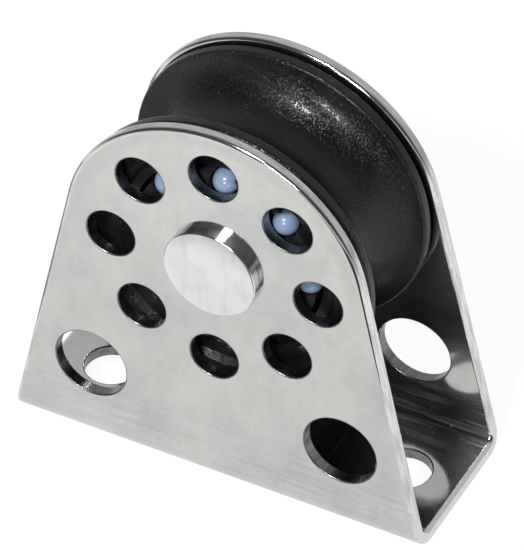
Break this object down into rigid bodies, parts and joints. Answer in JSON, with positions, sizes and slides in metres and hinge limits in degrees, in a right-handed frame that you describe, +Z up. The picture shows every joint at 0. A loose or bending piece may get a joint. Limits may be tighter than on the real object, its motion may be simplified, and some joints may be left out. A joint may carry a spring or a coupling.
{
  "type": "vertical block",
  "caption": "Upright rope block: a folded stainless frame that screws down by its base, a riveted pin, and a black grooved sheave that turns on plastic balls.",
  "frame": {"origin": "centre of the flat underside, below the pin", "axes": "+Z up from the surface that the base is screwed to, +X along the base, +Y along the pin from the front cheek to the rear cheek"},
  "size_m": [0.0526, 0.0218, 0.0509],
  "materials": {
    "steel_sheet": "polished stainless sheet with faint scratches",
    "pin_steel": "turned and polished stainless",
    "race_plastic": "satin",
    "sheave_plastic": "satin with a fine grain",
    "cage_plastic": "satin",
    "ball_plastic": "smooth, slightly glossy"
  },
  "bodies": {
    "frame_body": {"frame": "steel_sheet", "axle_pin": "pin_steel", "inner_race": "race_plastic"},
    "wheel": {"sheave": "sheave_plastic"},
    "front_row": {"ball_cage_front": "cage_plastic", "balls_front": "ball_plastic"},
    "rear_row": {"ball_cage_rear": "cage_plastic", "balls_rear": "ball_plastic"}
  },
  "joints": [
    {"name": "sheave_spin", "type": "hinge", "parent": "frame_body", "child": "wheel", "pos_m": [0, 0, 0.032], "axis": [0, 1, 0], "continuous": true},
    {"name": "front_row_spin", "type": "hinge", "parent": "frame_body", "child": "front_row", "pos_m": [0, 0, 0.032], "axis": [0, 1, 0], "continuous": true},
    {"name": "rear_row_spin", "type": "hinge", "parent": "frame_body", "child": "rear_row", "pos_m": [0, 0, 0.032], "axis": [0, 1, 0], "continuous": true}
  ],
  "couplings": [
    {"joint": "front_row_spin", "follows": "sheave_spin", "ratio": 0.5773},
    {"joint": "rear_row_spin", "follows": "sheave_spin", "ratio": 0.5773}
  ]
}
